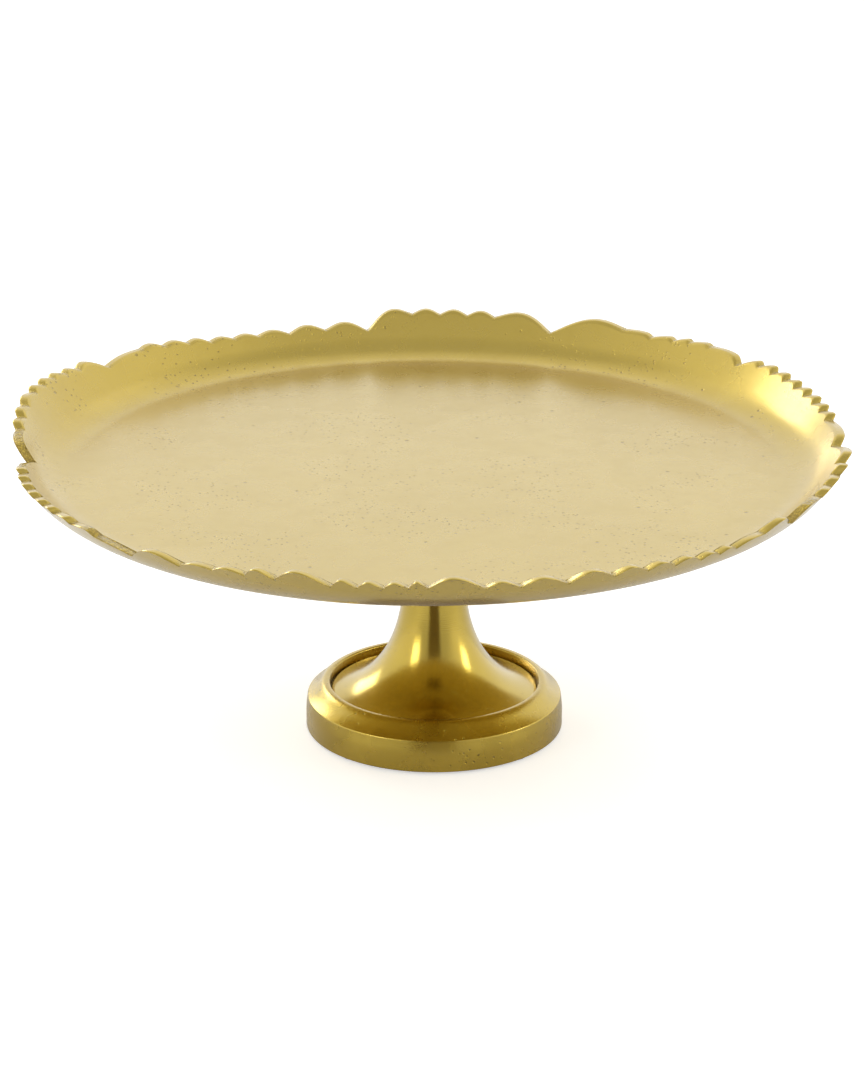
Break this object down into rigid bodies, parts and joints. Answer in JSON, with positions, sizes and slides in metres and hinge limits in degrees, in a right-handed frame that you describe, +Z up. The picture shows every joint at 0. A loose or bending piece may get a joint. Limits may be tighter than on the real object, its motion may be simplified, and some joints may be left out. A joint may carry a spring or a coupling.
{
  "type": "cake stand",
  "caption": "Gold cast-metal pedestal cake stand: a round plate with an irregular scalloped rim, on a flared trumpet column and a moulded foot ring.",
  "frame": {"origin": "on the table under the plate's centre, which is the bottom centre of the bounding box to within 1 mm; the foot's axis is 3.2 mm to +X and 1 mm to -Y of it", "axes": "+Z up along the column, -Y towards the viewer, +X to the viewer's right"},
  "size_m": [0.4055, 0.4098, 0.158],
  "materials": {
    "plate_gold": "satin gold on cast aluminium, finely pitted",
    "column_gold": "smooth satin gold on turned cast aluminium",
    "foot_gold": "grainy satin gold on cast aluminium",
    "steel": "zinc-plated",
    "felt": "pressed wool felt"
  },
  "bodies": {
    "root": {"plate": "plate_gold", "column": "column_gold", "foot_ring": "foot_gold", "clamp_bolt": "steel", "spring_washer": "steel", "flat_washer": "steel", "felt_pad_1": "felt", "felt_pad_2": "felt", "felt_pad_3": "felt", "felt_pad_4": "felt"}
  },
  "joints": []
}
